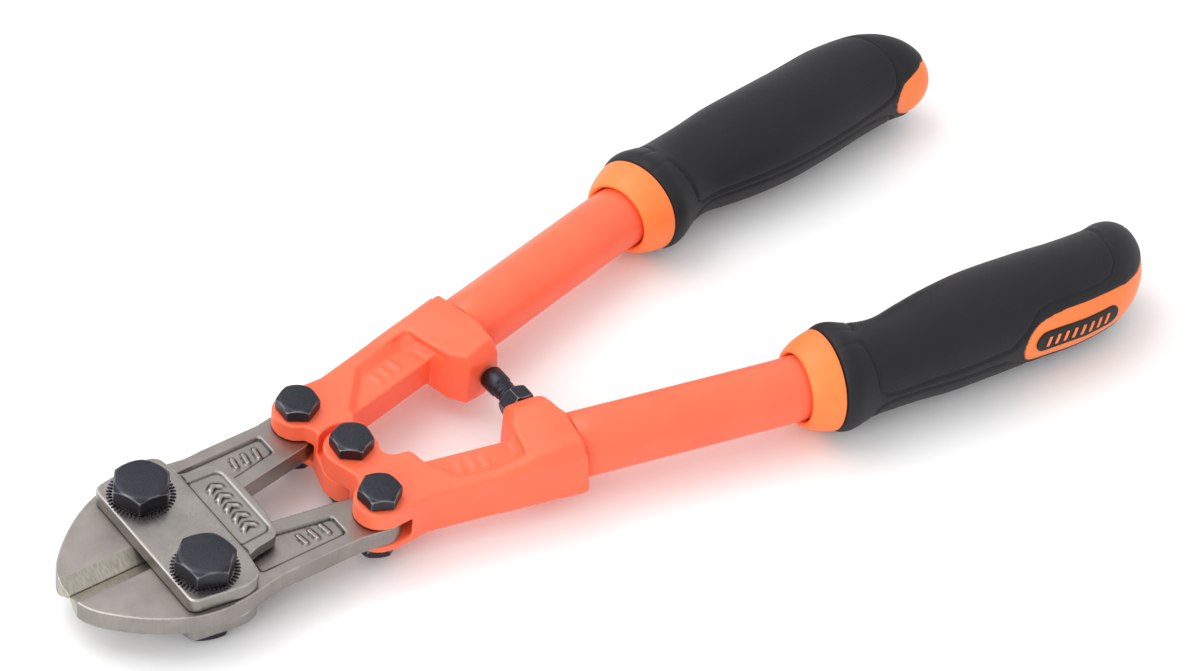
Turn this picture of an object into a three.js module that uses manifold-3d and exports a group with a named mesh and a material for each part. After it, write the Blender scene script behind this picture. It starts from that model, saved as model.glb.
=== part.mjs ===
// 300 mm compound-action bolt cutters, closed, lying flat. Millimetres, +Z up.
// Everything is drawn about the centre bolt: +X runs from the jaws to the grips and +Y to the
// right-hand handle, then the whole tool is moved so that it stands on z = 0, centred in x.
import * as THREE from 'three';
import { mergeVertices } from 'three/addons/utils/BufferGeometryUtils.js';
import Module from 'manifold-3d';

// ---- driving dimensions -------------------------------------------------------------------
const RUN_GAP = 0.2; // between faces that slide or sit on each other
const FIT_GAP = 0.3; // round a pin, and between two grip materials
const ROUND = 20; // flats round a full circle
const CURVE_STEPS = 6; // straight pieces to one curve of an outline

const JAW_PIVOT = { x: -50.3, y: 13.75 };
const TAIL_PIVOT = { x: -3.9, y: 17.3 };
const JAW_THICKNESS = 5.4;
const EDGE_BEVEL_DEPTH = 4; // how far the cutting bevel runs back from the edge
const BLADE_TIP_X = -78.6;
const TAIL_END_RADIUS = 6;
const LOOSE_TAIL_BORE = 4.6; // radius, the hole that lets the left tail bolt float
const TAIL_PANEL_DEPTH = 0.6;

const STRAP_THICKNESS = 4;
const STRAP_TAB_STEP = 0.6; // the rear tab is thinner than the plate by this
const STRAP_FRONT_X = -58.8;
const STRAP_STEP_X = -39.8;
const STRAP_REAR_X = -28.4;
const STRAP_HALF_WIDTH = 22.4;

const HEAD_BOTTOM = -4.8; // the heads sit mostly above the plane of the jaws
const HEAD_TOP = 8;
const HEAD_EASE = 1; // how far the edges are rounded over
const EAR_RADIUS = 6.2;
const HUB_RADIUS = 6.8;
const HUB_CLEARANCE = 8.3; // radius cut out of one head for the other head's half-lap hub
const ARM_PANEL_DEPTH = 1.5;
const SLOT_RADIUS = 8.3; // depth of the fork slot behind the tail pivot
const PIVOT_SPACING = Math.hypot(TAIL_PIVOT.x, TAIL_PIVOT.y);

const HANDLE_ANGLE = THREE.MathUtils.degToRad(12.6); // each handle to the centreline, closed
const HANDLE_OFFSET = 12.2; // centre bolt to tube axis
const HANDLE_LIFT = 2.2; // tube axis above the plane of the jaws
const HEAD_END = 54.6; // along the handle from the centre bolt
const TUBE_RADIUS = 8.3;
const TUBE_WALL = 1.2;
const TUBE_END = 192;
const SPIGOT_LENGTH = 14;

const M8 = { shank: 4, corner: 7.5, head: 5, nut: 4.1 };
const M6 = { shank: 3, corner: 5.5, head: 3.6, nut: 3.2, pastNut: 0.5 };

const STOP_X = 46.7; // the stop screw lies across the tool here
const STOP = { shank: 2.5, headRadius: 3, headLength: 6.4, nutCorner: 4.6, nut: 4.8 };
const SCREW_DEPTH = 8; // how far the stop screw goes into the left lug
const LUG_TOP_Y = 7.2; // both lugs end this far from the centreline

// ---- colours and finishes -----------------------------------------------------------------
const FINISH = {
  steel: { color: 0x9c9693, roughness: 0.35, metalness: 1 },
  blackOxide: { color: 0x2f2e33, roughness: 0.45, metalness: 0.9 },
  powderCoat: { color: 0xff6b45, roughness: 0.5, metalness: 0 },
  orangePlastic: { color: 0xff8a4a, roughness: 0.55, metalness: 0 },
  blackRubber: { color: 0x2c2b2e, roughness: 0.8, metalness: 0 },
};

// ---- joining and cutting ------------------------------------------------------------------
const wasm = await Module();
wasm.setup();

function solid(geometry) {
  const bare = geometry.clone();
  bare.deleteAttribute('normal');
  bare.deleteAttribute('uv');
  const merged = mergeVertices(bare, 1e-4);
  return new wasm.Manifold(
    new wasm.Mesh({
      numProp: 3,
      vertProperties: merged.attributes.position.array,
      triVerts: new Uint32Array(merged.index.array),
    }),
  );
}

function geometryOf(manifold) {
  const { vertProperties, triVerts } = manifold.getMesh();
  const geometry = new THREE.BufferGeometry();
  geometry.setAttribute('position', new THREE.BufferAttribute(vertProperties, 3));
  geometry.setIndex(new THREE.BufferAttribute(triVerts, 1));
  geometry.computeVertexNormals();
  return geometry;
}

const union = (parts) => parts.reduce((whole, part) => whole.add(part));
const cut = (body, tools) => tools.reduce((rest, tool) => rest.subtract(tool), body);

// ---- basic shapes -------------------------------------------------------------------------
function plate(shape, bottom, top, chamfer = 0) {
  const geometry = new THREE.ExtrudeGeometry(shape, {
    depth: top - bottom - 2 * chamfer,
    curveSegments: CURVE_STEPS,
    bevelEnabled: chamfer > 0,
    bevelThickness: chamfer,
    bevelSize: chamfer,
    bevelOffset: -chamfer,
    bevelSegments: 1,
  });
  geometry.translate(0, 0, bottom + chamfer);
  return solid(geometry);
}

function disc(x, y, radius, bottom, top, sides = ROUND) {
  const geometry = new THREE.CylinderGeometry(radius, radius, top - bottom, sides);
  geometry.rotateX(Math.PI / 2);
  geometry.translate(x, y, (bottom + top) / 2);
  return solid(geometry);
}

// A hexagon whose corners are eased by a shallow cone at its upper end, lower end or both.
function hexagon(corner, bottom, top, easeTop, easeBottom, turn = 0) {
  const geometry = new THREE.CylinderGeometry(corner, corner, top - bottom, 6);
  geometry.rotateX(Math.PI / 2);
  geometry.rotateZ(turn + Math.PI / 6);
  geometry.translate(0, 0, (bottom + top) / 2);
  const ease = corner * 0.16;
  const drop = ease * 0.6;
  const profile = [
    new THREE.Vector2(0, bottom),
    new THREE.Vector2(easeBottom ? corner - ease : corner + 1, bottom),
    new THREE.Vector2(corner + 1, bottom + drop * (1 + 1 / ease)),
    new THREE.Vector2(corner + 1, top - drop * (1 + 1 / ease)),
    new THREE.Vector2(easeTop ? corner - ease : corner + 1, top),
    new THREE.Vector2(0, top),
  ];
  const cone = new THREE.LatheGeometry(profile, ROUND);
  cone.rotateX(Math.PI / 2);
  return solid(geometry).intersect(solid(cone));
}

// ---- fasteners ----------------------------------------------------------------------------
function hexBolt(size, seat, end, turn) {
  const head = hexagon(size.corner, seat, seat + size.head, true, false, turn);
  return head.add(disc(0, 0, size.shank, end, seat + 1));
}

function hexNut(size, seat, turn) {
  const nut = hexagon(size.corner, seat - size.nut, seat, true, true, turn);
  return nut.subtract(disc(0, 0, size.shank + FIT_GAP, seat - size.nut - 1, seat + 1));
}

// ---- jaws ---------------------------------------------------------------------------------
const JAW_TOP = JAW_THICKNESS / 2;
const EDGE_CLEARANCE = RUN_GAP / 2; // each cutting edge stops this far short of the centreline

function jawOutline() {
  const { x: tailX, y: tailY } = TAIL_PIVOT;
  const outline = new THREE.Shape();
  outline.moveTo(BLADE_TIP_X + 0.4, EDGE_CLEARANCE);
  outline.lineTo(-51.5, EDGE_CLEARANCE);
  outline.lineTo(-26, 6.4);
  outline.lineTo(-5.2, 10);
  outline.quadraticCurveTo(-2.6, 10.6, tailX + TAIL_END_RADIUS * 0.6, tailY - TAIL_END_RADIUS * 0.8);
  outline.absarc(tailX, tailY, TAIL_END_RADIUS, -Math.atan2(0.8, 0.6), Math.PI * 0.52, false);
  outline.lineTo(-12, 22);
  outline.lineTo(-34, 21.8);
  outline.quadraticCurveTo(-43, 23.8, -50, 23.8);
  outline.bezierCurveTo(-60, 23.6, -69, 17, -75.5, 10);
  outline.quadraticCurveTo(BLADE_TIP_X - 0.3, 6.4, BLADE_TIP_X - 0.1, 3);
  outline.closePath();
  return outline;
}

// The wedge of metal ground away above (side 1) or below (side -1) the cutting edge.
function bevelCut(side) {
  const land = 0.35; // the edge itself is left this thick
  const profile = new THREE.Shape();
  profile.moveTo(-1, side * land * 0.5);
  profile.lineTo(EDGE_CLEARANCE, side * land * 0.5);
  profile.lineTo(EDGE_BEVEL_DEPTH, side * JAW_TOP);
  profile.lineTo(EDGE_BEVEL_DEPTH, side * (JAW_TOP + 1));
  profile.lineTo(-1, side * (JAW_TOP + 1));
  const wedge = new THREE.ExtrudeGeometry(profile, { depth: 32, bevelEnabled: false });
  wedge.rotateX(Math.PI / 2);
  wedge.rotateZ(Math.PI / 2);
  wedge.translate(BLADE_TIP_X - 2, 0, 0);
  return solid(wedge);
}

// The sunk panel on the upper and lower face of the tail.
function tailPanel(side) {
  const panel = new THREE.Shape();
  panel.moveTo(-37, 18.2);
  panel.lineTo(-15.6, 18.2);
  panel.quadraticCurveTo(-14, 18.2, -14, 16.6);
  panel.lineTo(-14, 12.2);
  panel.lineTo(-30, 9.4);
  panel.lineTo(-37, 9.4);
  const floor = JAW_TOP - TAIL_PANEL_DEPTH;
  return side > 0 ? plate(panel, floor, JAW_TOP + 1) : plate(panel, -JAW_TOP - 1, -floor);
}

function jaw(tailBore) {
  return cut(plate(jawOutline(), -JAW_TOP, JAW_TOP, 0.3), [
    bevelCut(1),
    bevelCut(-1),
    tailPanel(1),
    tailPanel(-1),
    disc(JAW_PIVOT.x, JAW_PIVOT.y, M8.shank + FIT_GAP, -JAW_THICKNESS, JAW_THICKNESS),
    disc(TAIL_PIVOT.x, TAIL_PIVOT.y, tailBore, -JAW_THICKNESS, JAW_THICKNESS),
  ]);
}

// ---- straps -------------------------------------------------------------------------------
const STRAP_BOTTOM = JAW_TOP + RUN_GAP;
const STRAP_TOP = STRAP_BOTTOM + STRAP_THICKNESS;

function strapPlateOutline() {
  const outline = new THREE.Shape();
  const wide = STRAP_HALF_WIDTH;
  outline.moveTo(STRAP_FRONT_X, -wide + 2);
  outline.quadraticCurveTo(STRAP_FRONT_X, -wide, STRAP_FRONT_X + 2, -wide);
  outline.lineTo(-46, -wide - 0.3);
  outline.quadraticCurveTo(STRAP_STEP_X, -wide, STRAP_STEP_X, -15.5);
  outline.lineTo(STRAP_STEP_X, 15.5);
  outline.quadraticCurveTo(STRAP_STEP_X, wide, -46, wide + 0.3);
  outline.lineTo(STRAP_FRONT_X + 2, wide);
  outline.quadraticCurveTo(STRAP_FRONT_X, wide, STRAP_FRONT_X, wide - 2);
  outline.closePath();
  return outline;
}

function strapTabOutline() {
  const outline = new THREE.Shape();
  const inside = STRAP_STEP_X - 3;
  outline.moveTo(inside, -14);
  outline.lineTo(STRAP_STEP_X, -15.5);
  outline.quadraticCurveTo(-38, -14.4, -36, -14);
  outline.lineTo(-32, -13.2);
  outline.quadraticCurveTo(STRAP_REAR_X, -12.4, STRAP_REAR_X, -9);
  outline.lineTo(STRAP_REAR_X, 9);
  outline.quadraticCurveTo(STRAP_REAR_X, 12.4, -32, 13.2);
  outline.lineTo(-36, 14);
  outline.quadraticCurveTo(-38, 14.4, STRAP_STEP_X, 15.5);
  outline.lineTo(inside, 14);
  outline.closePath();
  return outline;
}

function strap() {
  const whole = union([
    plate(strapPlateOutline(), STRAP_BOTTOM, STRAP_TOP, 0.4),
    plate(strapTabOutline(), STRAP_BOTTOM, STRAP_TOP - STRAP_TAB_STEP),
  ]);
  const holes = [1, -1].map((side) =>
    disc(JAW_PIVOT.x, side * JAW_PIVOT.y, M8.shank + FIT_GAP, 0, STRAP_TOP + 1),
  );
  return cut(whole, holes);
}

// ---- handle heads -------------------------------------------------------------------------
// A head is drawn in its handle's frame: origin on the centre bolt, +X along the handle, +Y
// outwards, so that the tail pivot is straight out at (0, PIVOT_SPACING).
const SLOT_TOP = JAW_TOP + RUN_GAP;
const ARM_INNER = HANDLE_OFFSET - 4;
const ARM_OUTER = HANDLE_OFFSET + 9;
const LUG_END = -2.6; // past the milled face

function headOutline(shouldered) {
  const outline = new THREE.Shape();
  outline.absarc(0, 0, HUB_RADIUS, Math.PI * 0.86, Math.PI * 2.06, false);
  if (shouldered) {
    outline.quadraticCurveTo(7.6, 5.4, 12.2, 5.4);
    outline.quadraticCurveTo(13.4, 5.6, 14, ARM_INNER);
  } else {
    outline.quadraticCurveTo(8.4, ARM_INNER, 16, ARM_INNER);
  }
  outline.lineTo(36, ARM_INNER);
  outline.quadraticCurveTo(38.2, ARM_INNER, 39, 5);
  outline.lineTo(40.6, 0.6);
  outline.quadraticCurveTo(41.6, LUG_END, 44.4, LUG_END);
  outline.lineTo(50.4, LUG_END);
  outline.quadraticCurveTo(52.6, LUG_END, 53.2, 0.8);
  outline.lineTo(HEAD_END, 3.9);
  outline.lineTo(HEAD_END, HANDLE_OFFSET + TUBE_RADIUS);
  outline.lineTo(HEAD_END - 3, ARM_OUTER + 0.6);
  outline.lineTo(46, ARM_OUTER + 0.4);
  outline.lineTo(12, ARM_OUTER);
  outline.lineTo(1.5, PIVOT_SPACING + EAR_RADIUS);
  outline.absarc(0, PIVOT_SPACING, EAR_RADIUS, Math.PI * 0.46, Math.PI * 1.33, false);
  outline.lineTo(-2.4, 9.6);
  outline.closePath();
  return outline;
}

// The slot that takes the jaw's tail, open to the front and to the outside of the head.
function forkSlot() {
  const reach = 30;
  const slot = new THREE.Shape();
  slot.absarc(0, PIVOT_SPACING, SLOT_RADIUS, -Math.PI * 0.62, Math.PI * 0.22, false);
  slot.lineTo(reach * 0.1, PIVOT_SPACING + reach);
  slot.lineTo(-reach, PIVOT_SPACING + reach);
  slot.lineTo(-reach, 10);
  slot.closePath();
  return plate(slot, -SLOT_TOP, SLOT_TOP);
}

// The sunk web on the inside of the arm, bounded by the thick outer rib. It runs right up to the
// hub on the face away from the lap, and starts behind the shoulder on the other.
function armPanel(side, nearHub) {
  const inside = LUG_END - 1;
  const panel = new THREE.Shape();
  if (nearHub) {
    panel.moveTo(6.4, inside);
    panel.lineTo(8.6, 8.6);
  } else {
    panel.moveTo(12.4, inside);
    panel.lineTo(14.4, 9.4);
  }
  panel.lineTo(20.8, 16.8);
  panel.lineTo(37, 16.8);
  panel.quadraticCurveTo(40, 16.6, 40.6, 13.4);
  panel.lineTo(41.2, 6);
  panel.lineTo(36, inside);
  panel.closePath();
  return side > 0
    ? plate(panel, HEAD_TOP - ARM_PANEL_DEPTH, HEAD_TOP + 1)
    : plate(panel, HEAD_BOTTOM - 1, HEAD_BOTTOM + ARM_PANEL_DEPTH);
}

// A round bar along the handle, from one distance out to another.
function bar(radius, from, to) {
  const geometry = new THREE.CylinderGeometry(radius, radius, to - from, ROUND);
  geometry.rotateZ(Math.PI / 2);
  geometry.translate((from + to) / 2, HANDLE_OFFSET, HANDLE_LIFT);
  return solid(geometry);
}

// lapUp is true on the head whose hub is the upper half of the centre joint.
function headBlank(lapUp) {
  const neck = bar(TUBE_RADIUS, 46, HEAD_END);
  const spigot = bar(TUBE_RADIUS - TUBE_WALL - FIT_GAP, HEAD_END - 2, HEAD_END + SPIGOT_LENGTH);
  const body = plate(headOutline(lapUp), HEAD_BOTTOM, HEAD_TOP, HEAD_EASE);
  const far = 20;
  const lap = (HEAD_TOP + HEAD_BOTTOM) / 2;
  return cut(union([body, neck, spigot]), [
    forkSlot(),
    armPanel(1, !lapUp),
    armPanel(-1, lapUp),
    lapUp
      ? disc(0, 0, HUB_CLEARANCE, -far, lap + RUN_GAP / 2)
      : disc(0, 0, HUB_CLEARANCE, lap - RUN_GAP / 2, far),
    disc(0, 0, M6.shank + FIT_GAP, -far, far),
    disc(0, PIVOT_SPACING, M6.shank + FIT_GAP, -far, far),
  ]);
}

// Anything that lies square to the closed tool, such as the stop screw, is turned back from the
// tool's frame into the handle's.
const toHandleFrame = new THREE.Matrix4().makeRotationZ(-HANDLE_ANGLE);

function crossBar(radius, fromY, toY, sides = ROUND) {
  const geometry = new THREE.CylinderGeometry(radius, radius, toY - fromY, sides);
  geometry.translate(STOP_X, (fromY + toY) / 2, HANDLE_LIFT);
  return geometry;
}

// The lug face is milled square across at LUG_TOP_Y; the left one is also bored for the screw.
function head(lapUp, boredForScrew) {
  const mill = new THREE.BoxGeometry(20, 8, 40);
  mill.translate(STOP_X, LUG_TOP_Y - 4, 0);
  const tools = [solid(mill.applyMatrix4(toHandleFrame))];
  if (boredForScrew) {
    const bore = crossBar(STOP.shank + FIT_GAP, LUG_TOP_Y - 1, LUG_TOP_Y + SCREW_DEPTH + 3);
    tools.push(solid(bore.applyMatrix4(toHandleFrame)));
  }
  return cut(headBlank(lapUp), tools);
}

// ---- tubes and grips ----------------------------------------------------------------------
// Distance along the handle, how far the grip's middle has bent inwards, and its radius.
const GRIP = [
  { at: 123.2, bend: 0.6, radius: 13.2 },
  { at: 127, bend: 0.7, radius: 13.8 },
  { at: 134, bend: 0.8, radius: 12.2 },
  { at: 141, bend: 1.1, radius: 11.8 },
  { at: 149, bend: 2.6, radius: 12.6 },
  { at: 158, bend: 4.1, radius: 13.6 },
  { at: 170, bend: 6.1, radius: 14.1 },
  { at: 186, bend: 7.9, radius: 14 },
  { at: 198, bend: 8.9, radius: 13.8 },
  { at: 209, bend: 11, radius: 13.2 },
  { at: 214, bend: 13, radius: 12.7 },
  { at: 218, bend: 14.6, radius: 11.2 },
  { at: 221.3, bend: 15.8, radius: 8.6 },
  { at: 223.3, bend: 16.6, radius: 5 },
];
const GRIP_END = { at: 224.2, bend: 17 };
const RUBBER_THICKNESS = 2.2;
const COLLAR = { start: 112.4, mouthRadius: 9.9, startRadius: 9.2 };
const BAND_HALF_HEIGHT = 7.4; // the orange band round the end, above and below the middle
const BAND_FRONT = { outside: 178, inside: 208.5 };

const bendCurve = new THREE.CatmullRomCurve3(
  [
    new THREE.Vector3(0, 0, 0),
    new THREE.Vector3(110, 0, 0),
    ...GRIP.map((station) => new THREE.Vector3(station.at, station.bend, 0)),
    new THREE.Vector3(GRIP_END.at, GRIP_END.bend, 0),
  ],
  false,
  'centripetal',
);
const bendSamples = bendCurve.getPoints(240);

function bendAt(along) {
  const after = bendSamples.findIndex((point) => point.x >= along);
  if (after <= 0) return after === 0 ? 0 : GRIP_END.bend;
  const a = bendSamples[after - 1];
  const b = bendSamples[after];
  return THREE.MathUtils.mapLinear(along, a.x, b.x, a.y, b.y);
}

// A body of revolution about the handle's axis, given as [along, radius] pairs from end to end,
// with every section then slid inwards by the bend.
function bentLathe(profile, sides = 20) {
  const points = profile.map(([along, radius]) => new THREE.Vector2(radius, along));
  const geometry = new THREE.LatheGeometry(points, sides);
  geometry.rotateZ(-Math.PI / 2);
  const position = geometry.getAttribute('position');
  for (let i = 0; i < position.count; i += 1) {
    const along = position.getX(i);
    position.setY(i, HANDLE_OFFSET - bendAt(along) - position.getY(i));
    position.setZ(i, HANDLE_LIFT - position.getZ(i));
  }
  return solid(geometry);
}

function gripSkin(depth) {
  const closed = GRIP.filter((station) => station.radius > depth + 2);
  return [
    [GRIP[0].at, 0],
    ...closed.map((station) => [station.at, station.radius - depth]),
    [GRIP_END.at - depth, 0],
  ];
}

// Where the tube is straight two stations are enough; through the bend it needs more.
const TUBE_STATIONS = [110, 117, 124, 134, 141, 149, 158, 170, 182];

function tube() {
  const start = HEAD_END + FIT_GAP;
  const outside = [start, ...TUBE_STATIONS, TUBE_END].map((along) => [along, TUBE_RADIUS]);
  const inside = outside.map(([along, radius]) => [along, radius - TUBE_WALL]).reverse();
  return bentLathe([...outside, ...inside, outside[0]]);
}

// The band that shows at the end: slabs through the middle of the grip, their fronts cut
// slanting. On the outside of the grip the band runs further forward than on the inside.
function bandSlab(grow) {
  const half = BAND_HALF_HEIGHT + grow;
  const slab = (front, innerY) => {
    const outline = new THREE.Shape();
    outline.moveTo(front, -half + 3);
    outline.lineTo(front + 6, -half);
    outline.lineTo(240, -half);
    outline.lineTo(240, half);
    outline.lineTo(front + 6, half);
    outline.lineTo(front, half - 3);
    outline.closePath();
    const depth = HANDLE_OFFSET + 30 - innerY;
    const geometry = new THREE.ExtrudeGeometry(outline, { depth, bevelEnabled: false });
    geometry.rotateX(Math.PI / 2);
    geometry.translate(0, innerY + depth, HANDLE_LIFT);
    return solid(geometry);
  };
  return slab(BAND_FRONT.outside - grow, 3 - grow).add(slab(BAND_FRONT.inside - grow, -30));
}

// The hard orange part: collar, sleeve under the rubber, and the band round the end.
function gripCore() {
  const collar = bentLathe([
    [COLLAR.start, 0],
    [COLLAR.start, COLLAR.startRadius],
    [COLLAR.start + 1.4, COLLAR.mouthRadius],
    [120, 12.4],
    [GRIP[0].at - FIT_GAP, 13.1],
    [GRIP[0].at - FIT_GAP, 0],
  ]);
  const sleeve = bentLathe(gripSkin(RUBBER_THICKNESS));
  const joint = bentLathe([
    [GRIP[0].at - 2, 0],
    [GRIP[0].at - 2, GRIP[0].radius - RUBBER_THICKNESS],
    [GRIP[0].at + 2, GRIP[0].radius - RUBBER_THICKNESS],
    [GRIP[0].at + 2, 0],
  ]);
  const band = bentLathe(gripSkin(0)).intersect(bandSlab(0));
  return union([collar, joint, sleeve, band]).subtract(tubeChannel());
}

// The hole that the tube fills, a little larger than the tube.
function tubeChannel() {
  const stations = [...TUBE_STATIONS, TUBE_END + FIT_GAP];
  const wall = stations.map((along) => [along, TUBE_RADIUS + FIT_GAP]);
  return bentLathe([[wall[0][0], 0], ...wall, [TUBE_END + FIT_GAP, 0]]);
}

// The soft black part moulded over the core, split by the band.
function gripRubber() {
  const outer = bentLathe(gripSkin(0));
  const inner = bentLathe(gripSkin(RUBBER_THICKNESS - FIT_GAP));
  const mouth = bentLathe([
    [GRIP[0].at - 2, 0],
    [GRIP[0].at - 2, GRIP[0].radius - RUBBER_THICKNESS + FIT_GAP],
    [GRIP[0].at + 2 + FIT_GAP, GRIP[0].radius - RUBBER_THICKNESS + FIT_GAP],
    [GRIP[0].at + 2 + FIT_GAP, 0],
  ]);
  return cut(outer, [inner, mouth, bandSlab(FIT_GAP)]);
}

// ---- assembly -----------------------------------------------------------------------------
function add(group, name, manifold, finish, x = 0, y = 0) {
  const mesh = new THREE.Mesh(geometryOf(manifold), new THREE.MeshStandardMaterial(FINISH[finish]));
  mesh.name = name;
  mesh.position.set(x, y, 0);
  group.add(mesh);
  return mesh;
}

const HEX_TURN = {
  jaw: { right: -0.09, left: -0.31 },
  tail: { right: 0.25, left: 0.23 },
  centre: 0.4,
};

// The jaw bolts end level with the underside of the grips, so the tool lies flat on both.
const RESTING_Z = HANDLE_LIFT - Math.max(...GRIP.map((station) => station.radius));

function jawSet(tool) {
  const seat = STRAP_TOP + RUN_GAP;
  add(tool, 'strap_upper', strap(), 'steel');
  const lower = add(tool, 'strap_lower', strap(), 'steel');
  lower.rotation.x = Math.PI;
  for (const [side, sign] of [['right', 1], ['left', -1]]) {
    const y = sign * JAW_PIVOT.y;
    const turn = HEX_TURN.jaw[side];
    add(tool, `jaw_bolt_${side}`, hexBolt(M8, seat, RESTING_Z, turn), 'blackOxide', JAW_PIVOT.x, y);
    add(tool, `jaw_nut_${side}`, hexNut(M8, -seat, turn), 'blackOxide', JAW_PIVOT.x, y);
    const bore = side === 'left' ? LOOSE_TAIL_BORE : M6.shank + FIT_GAP;
    add(tool, `jaw_${side}`, jaw(bore), 'steel').scale.y = sign;
  }
}

function handle(side, sign) {
  const frame = new THREE.Group();
  frame.scale.y = sign;
  frame.rotation.z = sign * HANDLE_ANGLE;
  const seat = HEAD_TOP + RUN_GAP;
  const nutSeat = HEAD_BOTTOM - RUN_GAP;
  const end = nutSeat - M6.nut - M6.pastNut;
  const turn = HEX_TURN.tail[side];
  add(frame, `head_${side}`, head(side === 'left', side === 'left'), 'powderCoat');
  add(frame, `tail_bolt_${side}`, hexBolt(M6, seat, end, turn), 'blackOxide', 0, PIVOT_SPACING);
  add(frame, `tail_nut_${side}`, hexNut(M6, nutSeat, turn), 'blackOxide', 0, PIVOT_SPACING);
  add(frame, `tube_${side}`, tube(), 'powderCoat');
  add(frame, `grip_core_${side}`, gripCore(), 'orangePlastic');
  add(frame, `grip_rubber_${side}`, gripRubber(), 'blackRubber');
  return frame;
}

function centreJoint(tool) {
  const nutSeat = HEAD_BOTTOM - RUN_GAP;
  const end = nutSeat - M6.nut - M6.pastNut;
  add(tool, 'centre_bolt', hexBolt(M6, HEAD_TOP + RUN_GAP, end, HEX_TURN.centre), 'blackOxide');
  add(tool, 'centre_nut', hexNut(M6, nutSeat, HEX_TURN.centre), 'blackOxide');
}

// The screw in the left lug, whose round head meets the right lug when the tool is shut.
function stopScrew(tool) {
  const headTop = LUG_TOP_Y - RUN_GAP;
  const headBottom = headTop - STOP.headLength;
  const nutBottom = -LUG_TOP_Y + RUN_GAP;
  const profile = [
    [0, headTop],
    [STOP.headRadius - 0.5, headTop],
    [STOP.headRadius, headTop - 0.5],
    [STOP.headRadius, headBottom + 0.3],
    [STOP.headRadius - 0.3, headBottom],
    [STOP.shank, headBottom],
    [STOP.shank, -LUG_TOP_Y - SCREW_DEPTH],
    [0, -LUG_TOP_Y - SCREW_DEPTH],
  ].map(([radius, along]) => new THREE.Vector2(radius, along));
  const screw = new THREE.LatheGeometry(profile.reverse(), ROUND);
  add(tool, 'stop_screw', solid(screw), 'blackOxide', STOP_X).position.z = HANDLE_LIFT;
  const nut = new THREE.CylinderGeometry(STOP.nutCorner, STOP.nutCorner, STOP.nut, 6);
  nut.translate(0, nutBottom + STOP.nut / 2, 0);
  const bore = new THREE.CylinderGeometry(STOP.shank + FIT_GAP, STOP.shank + FIT_GAP, 20, ROUND);
  bore.translate(0, nutBottom, 0);
  const locknut = add(tool, 'stop_locknut', solid(nut).subtract(solid(bore)), 'blackOxide', STOP_X);
  locknut.position.z = HANDLE_LIFT;
}

const tool = new THREE.Group();
jawSet(tool);
centreJoint(tool);
stopScrew(tool);
tool.add(handle('right', 1), handle('left', -1));

const extent = new THREE.Box3().setFromObject(tool);
tool.position.set(-(extent.min.x + extent.max.x) / 2, 0, -extent.min.z);

const boltCutters = new THREE.Group();
boltCutters.add(tool);
export default boltCutters;
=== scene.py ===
import math

import bmesh
import bpy
import numpy as np
from mathutils import Matrix, Vector


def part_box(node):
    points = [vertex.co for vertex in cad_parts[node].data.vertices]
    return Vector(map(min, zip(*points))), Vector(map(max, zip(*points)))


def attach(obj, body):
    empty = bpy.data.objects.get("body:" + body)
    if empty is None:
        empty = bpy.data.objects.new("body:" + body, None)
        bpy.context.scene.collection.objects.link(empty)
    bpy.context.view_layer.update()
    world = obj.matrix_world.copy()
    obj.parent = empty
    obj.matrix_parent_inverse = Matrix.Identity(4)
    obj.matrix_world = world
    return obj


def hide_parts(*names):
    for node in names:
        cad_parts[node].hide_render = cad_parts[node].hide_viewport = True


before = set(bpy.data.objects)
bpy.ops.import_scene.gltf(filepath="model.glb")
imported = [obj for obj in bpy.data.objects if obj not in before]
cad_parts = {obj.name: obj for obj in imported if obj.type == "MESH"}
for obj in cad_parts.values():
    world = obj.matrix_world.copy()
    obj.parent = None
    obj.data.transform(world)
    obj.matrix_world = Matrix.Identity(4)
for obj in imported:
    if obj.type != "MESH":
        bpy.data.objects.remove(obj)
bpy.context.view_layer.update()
scene = bpy.context.scene
scene.view_settings.view_transform = "Standard"

# ---- dimensions, in millimetres about the centre bolt, +X towards the grips ---------------
MM = 0.001
JAW_PIVOT = (-50.3, 13.75)
TAIL_PIVOT = (-3.9, 17.3)
PIVOT_SPACING = math.hypot(*TAIL_PIVOT)
JAW_HALF = 2.7
STRAP_BOTTOM = 2.9
STRAP_TOP = 6.9
HEAD_BOTTOM = -4.8
HEAD_TOP = 8.0
RESTING_Z = -11.9
HANDLE_ANGLE = math.radians(12.6)
HANDLE_OFFSET = 12.2
HANDLE_LIFT = 2.2
BEVEL_WIDTH = 4.2
BEVEL_START = -49.5
HEAD_END = 54.6
TUBE_RADIUS = 8.3
TUBE_WALL = 1.2
TUBE_END = 192.0
STOP_X = 46.7
STOP_CORNER = 4.6
STOP_NUT = 4.8
LUG_TOP_Y = 7.2
GAP = 0.2

# Radii of shank, hole and hexagon corners, heights of head and nut, and size of mesh.
M8 = {"shank": 4.0, "hole": 4.3, "corner": 7.5, "head": 5.0, "nut": 4.1, "mesh": 0.22}
M6 = {"shank": 3.0, "hole": 3.4, "corner": 5.5, "head": 3.6, "nut": 3.2, "mesh": 0.18}
LOOSE_HOLE = 4.6
THREAD_PITCH = 1.0
HEX_TURN = {"jaw": (-0.09, -0.31), "tail": (0.25, 0.23), "centre": 0.4}

FORGED_MESH = 0.24
CAST_MESH = 0.34
BADGE_MESH = 0.22
SMALL_MESH = 0.16

bolt_low, bolt_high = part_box("jaw_bolt_right")
jaw_low, jaw_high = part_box("jaw_right")
CENTRE_BOLT = Vector(
    ((bolt_low.x + bolt_high.x) / 2 - JAW_PIVOT[0] * MM, 0, (jaw_low.z + jaw_high.z) / 2)
)
TOOL = Matrix.Translation(CENTRE_BOLT) @ Matrix.Scale(MM, 4)


def side_of(sign):
    return "right" if sign > 0 else "left"


def mirror(sign):
    return Matrix.Diagonal((1, sign, 1, 1))


def handle_frame(sign):
    return Matrix.Rotation(sign * HANDLE_ANGLE, 4, "Z") @ mirror(sign)


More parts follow.
